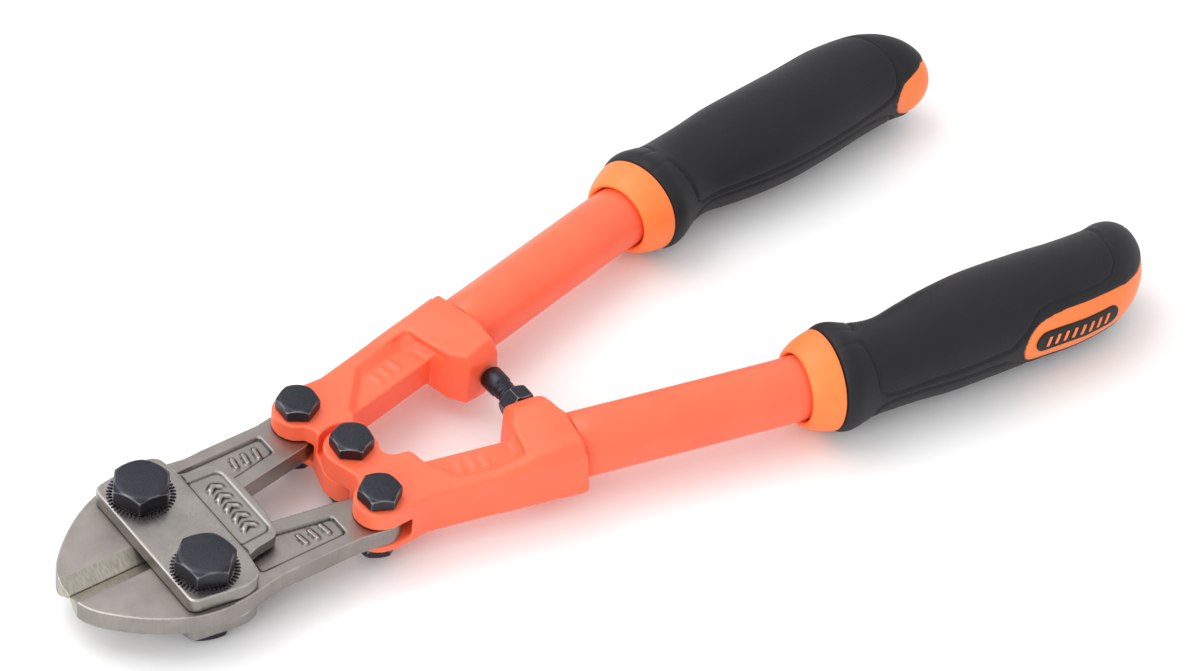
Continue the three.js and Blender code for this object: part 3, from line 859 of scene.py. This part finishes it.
def tube_block(shoulder):
    """Where the arm swells into a flat-topped block round the tube, with the lug on its inside.
    shoulder is how far the flat top stays back from the face of the lug."""
    rings = []
    for along, inner, top, bottom, across, down in BLOCK:
        outer = ARM_OUTER + 0.6 * (along - 12) / (HEAD_END - 12)
        lip = min((outer - inner) / 3.6, shoulder)
        section = [
            (inner, bottom + 3.4), (inner + lip * 0.5, bottom), (outer - 1.6, bottom),
            (outer, bottom + 1.6), (outer, top - down), (outer - across, top),
            (inner + lip, top), (inner + lip * 0.35, top - 2.4), (inner, top - 4.2),
        ]
        rings.append([(leaning(along, z), y, z) for y, z in section])
    rings.insert(0, [(BLOCK[0][0], ARM_OUTER - 2, 0)])
    rings.append([(leaning(HEAD_END, HANDLE_LIFT), HANDLE_OFFSET, HANDLE_LIFT)])
    return skin("block", rings)


def beyond_end():
    """Everything past the leaning end of the head."""
    below, above = -12, 20
    profile = [
        (leaning(HEAD_END, below), below), (leaning(HEAD_END, above), above),
        (80, above), (80, below),
    ]
    upright = Matrix(((1, 0, 0, 0), (0, 0, 1, 0), (0, 1, 0, 0), (0, 0, 0, 1)))
    return moved(prism(profile, -10, 30), upright)


def stop_bore():
    """The threaded hole in the left lug, square to the middle of the tool."""
    bore = post(0, 0, 2.9, -18.4, 0)
    moved(bore, Matrix.Translation((STOP_X, 0, HANDLE_LIFT)) @ Matrix.Rotation(math.pi / 2, 4, "X"))
    return moved(bore, Matrix.Rotation(-HANDLE_ANGLE, 4, "Z"))


def lug_face():
    """What is milled off the lug, so that its face is parallel to the middle of the tool."""
    near, far = STOP_X - 12, STOP_X + 12
    mill = prism([(near, -6), (far, -6), (far, LUG_TOP_Y), (near, LUG_TOP_Y)], -20, 20)
    return moved(mill, Matrix.Rotation(-HANDLE_ANGLE, 4, "Z"))


def head(sign):
    """A cast head. At the hub the left one laps over the right one."""
    side = side_of(sign)
    upper_lap = sign < 0
    body = prism(head_outline(upper_lap), HEAD_BOTTOM, HEAD_TOP)
    combine(body, [tube_block(WIDE_SHOULDER if upper_lap else NARROW_SHOULDER)], "UNION")
    combine(body, [beyond_end()], "DIFFERENCE")
    combine(body, [spigot()], "UNION")
    lap_cut = (-9, LAP_HEIGHT + 0.1) if upper_lap else (LAP_HEIGHT - 0.1, 12)
    cuts = [
        arm_recess(1, not upper_lap),
        arm_recess(-1, upper_lap),
        post(0, 0, LAP_RADIUS, *lap_cut, 45),
        post(0, 0, M6["hole"], -20, 20),
        lug_face(),
    ]
    if upper_lap:
        cuts.append(stop_bore())
    combine(body, cuts, "DIFFERENCE")
    combine(body, arm_bars(), "UNION")
    combine(body, [fork_slot(), post(0, PIVOT_SPACING, M6["hole"], -20, 20)], "DIFFERENCE")
    soften(body, CAST_MESH, 7)
    name = f"cast_head_{side}"
    finish(body, name, f"handle_{side}", [f"head_{side}"], "powder_coat", handle_frame(sign))


# ---- tubes and grips ----------------------------------------------------------------------
# Along the handle, radius, and how far the middle has bent inwards.
GRIP_LINE = [
    (127.0, 14.0, 0.7),
    (134.0, 12.2, 0.8),
    (141.0, 11.8, 1.1),
    (149.0, 12.6, 2.6),
    (158.0, 13.6, 4.1),
    (170.0, 14.1, 6.1),
    (186.0, 14.0, 7.9),
    (198.0, 13.8, 8.9),
    (209.0, 13.2, 11.0),
    (214.0, 12.7, 13.0),
    (218.0, 11.2, 14.6),
    (221.3, 8.6, 15.8),
    (223.3, 5.0, 16.6),
    (224.2, 0.0, 17.0),
]
BEND_LINE = [(0, 0), (110, 0), (123.2, 0.6)] + [(s, b) for s, r, b in GRIP_LINE]
SPOKES = 192


def flowing(points, step):
    """A smooth curve through points, sampled about every step along it."""
    points = np.array(points, dtype=float)
    last = points[-2] * np.array([1, -1, 1])
    points = np.vstack([2 * points[0] - points[1], points, last])
    samples = []
    for a, b, c, d in zip(points, points[1:], points[2:], points[3:]):
        count = max(2, int(np.linalg.norm(c - b) / step))
        for t in np.linspace(0, 1, count, endpoint=False):
            bent = (2 * a - 5 * b + 4 * c - d) * t**2 + (3 * b - a - 3 * c + d) * t**3
            samples.append(0.5 * (2 * b + (c - a) * t + bent))
    samples.append(points[-2])
    return np.array(samples)


def bend_at(along):
    """How far the middle of the handle has bent inwards, smoothed along the handle."""
    s, b = np.array(BEND_LINE).T
    fine = np.arange(0, 230, 0.5)
    line = np.interp(fine, s, b)
    kernel = np.hanning(13)
    line = np.convolve(np.pad(line, 6, mode="edge"), kernel / kernel.sum(), mode="valid")
    return np.interp(along, fine, line)


def tube_rings(profile, sides):
    """Rings along the bent handle from (distance, radius) pairs."""
    spokes = np.radians(np.arange(sides) * 360 / sides)
    rings = []
    for along, radius in profile:
        across = HANDLE_OFFSET - bend_at(along)
        if radius == 0:
            rings.append([(along, across, HANDLE_LIFT)])
            continue
        ring = zip(across + radius * np.cos(spokes), HANDLE_LIFT + radius * np.sin(spokes))
        rings.append([(along, y, z) for y, z in ring])
    return rings


def tube(sign):
    """A steel tube, whose near end leans with the end of the head."""
    side = side_of(sign)
    stations = [HEAD_END + 0.2, HEAD_END + 0.5] + list(np.linspace(60, TUBE_END, 45))
    outside = [(s, TUBE_RADIUS - (0.3 if i == 0 else 0)) for i, s in enumerate(stations)]
    inside = [(s, TUBE_RADIUS - TUBE_WALL) for s in stations[::-1]]
    part = skin("tube", tube_rings(outside + inside, 96), closed=True)
    for point in part.data.vertices:
        if point.co.x < HEAD_END + 2:
            point.co.x -= END_DRAFT * (point.co.z - HEAD_BOTTOM)
    name = f"steel_tube_{side}"
    finish(part, name, f"handle_{side}", [f"tube_{side}"], "powder_coat", handle_frame(sign))


def ease(value):
    value = np.clip(value, 0, 1)
    return value * value * (3 - 2 * value)


def band_depth(along, angle, height):
    """How far inside the orange band a point of the grip's skin is, in mm; below zero outside."""
    outer = np.interp(
        along,
        [170, 178, 178.3, 179.1, 180.3, 182, 184.2, 187, 190, 195, 202, 208.4, 213, 217.4, 227],
        [-14, 0, 1.8, 3.5, 4.9, 6.0, 6.6, 7.0, 7.3, 7.5, 7.4, 7.0, 6.5, 5.8, 5.6],
    )
    inner = np.interp(
        along,
        [200, 207.5, 208.1, 210, 213.5, 218, 221, 227],
        [-14, 0, 2.5, 4.9, 6.7, 7.7, 6.8, 5.8],
    )
    outside = ease((np.cos(angle) + 0.3) / 0.6)
    return outer * outside + inner * (1 - outside) - np.abs(height)


# The mould groove round the palm pads: along the handle, and degrees up from the outside.
GROOVE = [
    (124, 78), (130.8, 79), (132, 66), (132.7, 44), (133.3, 16), (135.4, 8), (139, 5.5),
    (173.3, 8), (178.8, 25), (182.4, 40), (185.8, 44), (202, 46), (206.9, 50), (209.2, 62),
    (209.7, 90), (209.8, 123), (208.8, 142), (207.5, 157), (205.3, 166), (200.2, 172),
    (191.9, 174), (139, 175), (135.4, 173), (133.3, 164), (132.7, 136), (132, 114),
    (131, 101), (124, 102),
]


def groove_distance(along, angle):
    """Distance from each point of the skin to the groove, in mm. Both halves are alike."""
    radius = 13.4
    fold = np.abs((angle + math.pi) % (2 * math.pi) - math.pi)
    place = np.stack([along, fold * radius], -1)
    line = np.array([(s, math.radians(a) * radius) for s, a in GROOVE])
    nearest = np.full(along.shape, 99.0)
    for a, b in zip(line, line[1:]):
        way = b - a
        t = np.clip(((place - a) @ way) / (way @ way), 0, 1)
        nearest = np.minimum(nearest, np.linalg.norm(place - a - t[..., None] * way, axis=-1))
    return nearest


def grip_grid(line):
    """The undisturbed skin of the grip: points, outward normals, and where each point is."""
    along, radius, bend = flowing(line, 0.45).T
    angle = np.radians(np.arange(SPOKES) * 360 / SPOKES)
    s = np.repeat(along[:, None], SPOKES, 1)
    a = np.repeat(angle[None, :], len(along), 0)
    across = HANDLE_OFFSET - bend[:, None] + radius[:, None] * np.cos(a)
    height = radius[:, None] * np.sin(a)
    points = np.stack([s, across, height + HANDLE_LIFT], -1)
    forward = np.gradient(points, axis=0)
    around = np.roll(points, -1, axis=1) - np.roll(points, 1, axis=1)
    normal = np.cross(around, forward)
    size = np.linalg.norm(normal, axis=-1, keepdims=True)
    normal = normal / np.maximum(size, 1e-9)
    normal[-1] = (1, 0, 0)
    return points, normal, s, a, height


def as_rings(points):
    return [list(ring) for ring in points[:-1]] + [[points[-1].mean(axis=0)]]


def rubber(sign):
    """The soft cover: grooved, and sunk to nothing where the orange band comes through."""
    side = side_of(sign)
    lip = [(123.2, 11.4, 0.6), (123.25, 12.7, 0.6), (123.9, 13.5, 0.62)]
    points, normal, s, a, height = grip_grid(lip + GRIP_LINE)
    depth = 0.65 * np.exp(-((groove_distance(s, a) / 0.5) ** 2))
    depth *= ease((s - 123.4) / 0.6) * (0.35 + 0.65 * ease((s - 129) / 3))
    band = band_depth(s, a, height)
    depth += 1.9 * ease((band + 0.2) / 0.9)
    depth += 0.35 * np.exp(-(((band + 0.1) / 0.5) ** 2))
    outer = as_rings(points - normal * depth[..., None])
    inner = as_rings((points - normal * 2.8)[4:])
    part = skin("rubber", outer[::-1] + inner)
    name = f"soft_grip_{side}"
    finish(part, name, f"handle_{side}", [f"grip_rubber_{side}"], "grip_rubber", handle_frame(sign))


def core(sign):
    """The hard core: a collar, a sleeve under the rubber, and the band that comes through it."""
    side = side_of(sign)
    collar = [
        (116.2, 8.7, 0.25), (115.5, 8.9, 0.25), (115.1, 9.3, 0.25), (115.2, 9.9, 0.25),
        (116.0, 10.6, 0.25), (117.6, 11.5, 0.35), (119.6, 12.3, 0.45), (121.8, 12.95, 0.55),
        (122.8, 13.1, 0.6), (123.1, 12.4, 0.6), (123.2, 11.0, 0.6),
    ]
    front = flowing(collar + [(124.0, 10.6, 0.6)], 0.4)[:-1]
    front_rings = tube_rings([(s, r) for s, r, b in front], SPOKES)
    points, normal, s, a, height = grip_grid(GRIP_LINE)
    band = band_depth(s, a, height)
    depth = 3.0 - 2.75 * ease((band + 1.2) / 0.8)
    outer = as_rings(points - normal * depth[..., None])
    stations = [TUBE_END + 0.3, *range(180, 119, -10), 117]
    bore = [(s, TUBE_RADIUS + 0.3) for s in stations]
    inner = tube_rings([(TUBE_END + 0.3, 0)] + bore, SPOKES)
    part = skin("core", outer[::-1] + front_rings[::-1] + inner[::-1])
    name = f"hard_core_{side}"
    finish(part, name, f"handle_{side}", [f"grip_core_{side}"], "grip_plastic", handle_frame(sign))


def wrapped(part):
    """A part drawn flat, as distance along, height up and height off the skin, laid on the grip."""
    along, radius = np.array(GRIP_LINE).T[:2]
    for point in part.data.vertices:
        s, up, off = point.co
        reach = float(np.interp(s, along, radius))
        angle = math.asin(up / reach)
        across = HANDLE_OFFSET - float(bend_at(s)) + (reach + off) * math.cos(angle)
        point.co = (s, across, HANDLE_LIFT + (reach + off) * math.sin(angle))
    return part


def badge(sign):
    """A black capsule let into the band, with a plain row of raised slanting bars."""
    side = side_of(sign)
    place = handle_frame(sign)
    capsule = arc(184.6, 0.6, 3.1, 90, 270, 12) + arc(205.2, 0.6, 3.1, -90, 90, 12)
    plate = wrapped(soften(prism(capsule, -1.2, 0.25), BADGE_MESH, 2))
    finish(plate, f"badge_plate_{side}", f"handle_{side}", [], "grip_rubber", place)
    bars = []
    for i in range(8):
        x = 185 + 2.7 * i
        slant = [(x - 0.5, -0.9), (x + 0.4, -0.9), (x + 1.1, 2.1), (x + 0.2, 2.1)]
        bars.append(prism(slant, -0.2, 0.5))
    marks = wrapped(soften(combine(bars[0], bars[1:], "UNION"), SMALL_MESH, 2))
    finish(marks, f"badge_bars_{side}", f"handle_{side}", [], "grip_plastic", place)


# ---- stop screw ---------------------------------------------------------------------------
def stop_screw():
    """A round-headed screw in the left lug, with two rings round its neck, and its locknut."""
    top = LUG_TOP_Y - GAP
    seat = GAP - LUG_TOP_Y
    across = Matrix.Translation((STOP_X, 0, HANDLE_LIFT)) @ Matrix.Rotation(-math.pi / 2, 4, "X")
    profile = [(0, -15), (2, -15), (2.5, -14.4)]
    profile += [(2.5 - 0.35 * (i % 2), -14.2 + 0.4 * i) for i in range(30)]
    profile += [
        (2.2, -1.9), (2.2, -1.2), (2.7, -1.0), (2.7, -0.6), (2.25, -0.4), (2.25, 0.3),
        (2.7, 0.5), (2.7, 0.9), (2.3, 1.1), (2.3, 1.6), (2.9, 1.9), (3.05, 2.3),
        (3.1, top - 0.7), (2.6, top), (0, top),
    ]
    screw = turned(profile)
    finish(screw, "stop_screw_turned", "stop_screw", ["stop_screw"], "black_oxide", across)
    nut = hexagon(STOP_CORNER, seat, seat + STOP_NUT, 0.2, eased_bottom=True)
    combine(nut, [post(0, 0, 2.8, -9, 0)], "DIFFERENCE")
    soften(nut, SMALL_MESH, 3)
    finish(nut, "stop_locknut_hex", "stop_locknut", ["stop_locknut"], "black_oxide", across)


# ---- build --------------------------------------------------------------------------------
serration_ring = serration_tree()
strap(1, "plate_upper", serration_ring)
strap(-1, "plate_lower", serration_ring)
for sign in (1, -1):
    jaw(sign)
    jaw_fasteners(sign)
    head(sign)
    tube(sign)
    core(sign)
    rubber(sign)
    badge(sign)
    handle_fasteners(
        f"tail_pin_{side_of(sign)}",
        HEX_TURN["tail"][0 if sign > 0 else 1],
        f"handle_{side_of(sign)}",
        handle_frame(sign) @ Matrix.Translation((0, PIVOT_SPACING, 0)),
    )
handle_fasteners("centre_pin", HEX_TURN["centre"], "handle_left", Matrix.Identity(4))
stop_screw()

# ---- studio -------------------------------------------------------------------------------
floor = solid("floor", [(-3, -3, 0), (3, -3, 0), (3, 3, 0), (-3, 3, 0)], [[0, 1, 2, 3]])
# White background paper: matt, with a faint tooth.
paper, paper_tree, paper_surface, paper_where = start_material("white_paper_sweep", Roughness=0.9)
fibre = node(
    paper_tree, "ShaderNodeTexNoise",
    {"Vector": paper_where, "Scale": grains(2), "Detail": 2.0},
)
tone = node(
    paper_tree, "ShaderNodeMapRange",
    {"Value": fibre.outputs[0], "To Min": 0.93, "To Max": 0.95},
)
paper_tree.links.new(tone.outputs[0], paper_surface.inputs["Base Color"])
floor.data.materials.append(paper)

world = bpy.data.worlds.new("soft_white_room")
world.use_nodes = True
background = world.node_tree.nodes["Background"]
background.inputs["Color"].default_value = (1, 1, 1, 1)
background.inputs["Strength"].default_value = 0.95
scene.world = world


def softbox(name, place, aim, width, height, watts):
    """A soft rectangular lamp that faces the point it is aimed at."""
    light = bpy.data.lights.new(name, "AREA")
    light.shape = "RECTANGLE"
    light.size = width
    light.size_y = height
    light.energy = watts
    lamp = bpy.data.objects.new(name, light)
    lamp.location = place
    lamp.rotation_euler = (Vector(aim) - Vector(place)).to_track_quat("-Z", "Y").to_euler()
    scene.collection.objects.link(lamp)


softbox("key_softbox", (-0.25, 0.35, 0.75), (0, 0, 0), 0.8, 0.6, 3.4)
softbox("side_softbox", (-0.75, -0.25, 0.4), (-0.05, 0, 0), 0.6, 0.4, 2.0)

camera_data = bpy.data.cameras.new("studio_camera")
camera_data.lens = 109.88
camera_data.sensor_width = 36
camera_data.clip_start = 0.01
camera = bpy.data.objects.new("studio_camera", camera_data)
right = Vector((0.78996, -0.60428, 0.10397))
up = Vector((0.35932, 0.59362, 0.72007))
back = right.cross(up)
turn = Matrix((right, up, back)).transposed().to_4x4()
camera.matrix_world = Matrix.Translation(CENTRE_BOLT + Vector((-0.3783, -0.4850, 0.6335))) @ turn
scene.collection.objects.link(camera)
scene.camera = camera
